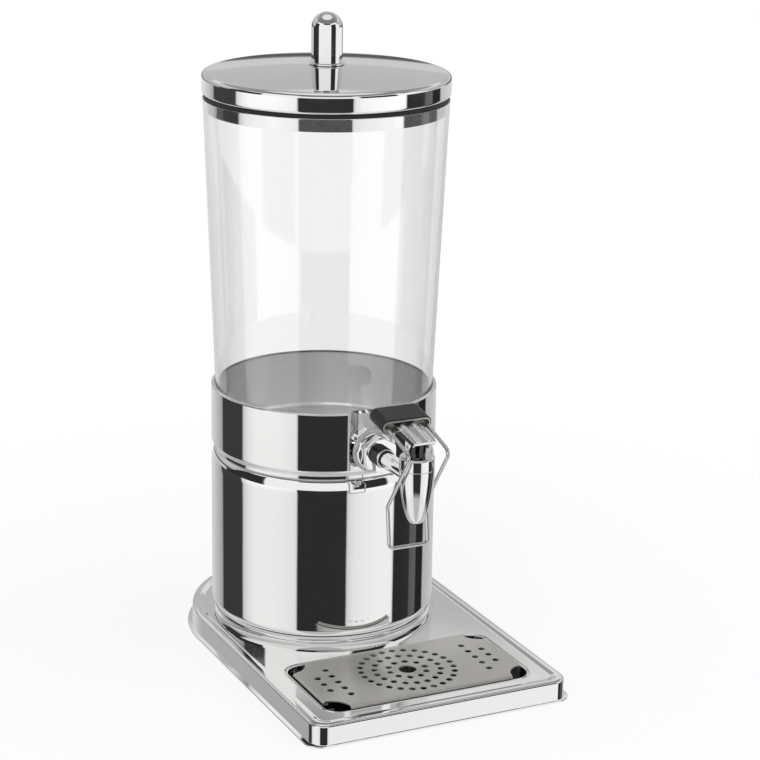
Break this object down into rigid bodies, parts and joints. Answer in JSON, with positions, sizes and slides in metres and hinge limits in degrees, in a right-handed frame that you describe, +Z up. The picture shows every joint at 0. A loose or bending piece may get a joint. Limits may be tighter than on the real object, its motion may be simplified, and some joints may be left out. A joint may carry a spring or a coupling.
{
  "type": "juice dispenser",
  "caption": "Buffet drink dispenser: polished steel base with drip tray, cooled pedestal, clear tapered container with lift-off lid, and a self-closing tap worked by a grip or a wire bail.",
  "frame": {"origin": "on the table, under the middle of the base's bounding box", "axes": "+Z up, -Y to the front (the tap's side), +X to the viewer's right when the dispenser is seen from the front"},
  "size_m": [0.2316, 0.3504, 0.5262],
  "materials": {
    "polished_steel": "mirror polished stainless steel sheet",
    "brushed_sheet": "satin brushed stainless steel sheet",
    "chrome": "bright chrome plate",
    "dark_chrome": "dark polished",
    "insert_metal": "satin",
    "zinc_steel": "zinc plated",
    "wire": "polished stainless wire",
    "clear_plastic": "clear, glossy",
    "black_plastic": "fine satin grain",
    "silicone": "translucent silicone",
    "black_rubber": "matt",
    "pack_plastic": "smooth"
  },
  "bodies": {
    "stand": {"base_pan": "polished_steel", "bottom_cover": "brushed_sheet", "rubber_foot_front_left": "black_rubber", "rubber_foot_front_right": "black_rubber", "rubber_foot_back_left": "black_rubber", "rubber_foot_back_right": "black_rubber", "pedestal_bolt_1": "zinc_steel", "pedestal_bolt_2": "zinc_steel", "pedestal_bolt_3": "zinc_steel", "pedestal_nut_1": "zinc_steel", "pedestal_nut_2": "zinc_steel", "pedestal_nut_3": "zinc_steel", "housing_shell": "polished_steel", "housing_gasket": "black_rubber", "container_ring": "polished_steel", "pack_cup": "brushed_sheet", "cold_pack": "pack_plastic", "cold_plate": "brushed_sheet"},
    "tray": {"drip_tray": "polished_steel"},
    "tray_cover": {"drip_cover": "brushed_sheet"},
    "vessel": {"container": "clear_plastic", "tap_shank": "chrome", "outer_washer": "silicone", "dome_washer": "chrome", "hex_nut": "chrome", "thread_collar": "dark_chrome", "bright_ring": "chrome", "dark_ring": "black_rubber", "inner_washer": "silicone", "lock_nut": "chrome", "tap_body": "chrome", "tap_neck": "dark_chrome"},
    "stem": {"valve_stem": "zinc_steel", "valve_seal": "black_rubber", "valve_spring": "zinc_steel"},
    "lever": {"lever_plate": "chrome", "crank_shaft": "zinc_steel", "grip_insert": "insert_metal", "lever_grip": "black_plastic", "wire_bail": "wire"},
    "lid": {"lid_shell": "polished_steel", "lid_skirt": "polished_steel", "lid_seal": "black_rubber", "knob_foot": "polished_steel", "knob": "polished_steel", "knob_screw": "zinc_steel"}
  },
  "joints": [
    {"name": "tray_lift", "type": "slide", "parent": "stand", "child": "tray", "axis": [0, 0, 1], "range_m": [0, 0.05]},
    {"name": "cover_lift", "type": "slide", "parent": "tray", "child": "tray_cover", "axis": [0, 0, 1], "range_m": [0, 0.03]},
    {"name": "container_lift", "type": "slide", "parent": "stand", "child": "vessel", "axis": [0, 0, 1], "range_m": [0, 0.06]},
    {"name": "lid_lift", "type": "slide", "parent": "vessel", "child": "lid", "axis": [0, 0, 1], "range_m": [0, 0.05]},
    {"name": "lever_hinge", "type": "hinge", "parent": "vessel", "child": "lever", "pos_m": [0, -0.11625, 0.213], "axis": [1, 0, 0], "range_deg": [0, 20], "stiffness_Nm_per_rad": 1.2, "springref_deg": -11.46},
    {"name": "stem_lift", "type": "slide", "parent": "vessel", "child": "stem", "axis": [0, 0, 1], "range_m": [0, 0.0012], "deforming": ["valve_spring"]}
  ],
  "couplings": [
    {"joint": "stem_lift", "follows": "lever_hinge", "m_per_rad": 0.0031839}
  ]
}
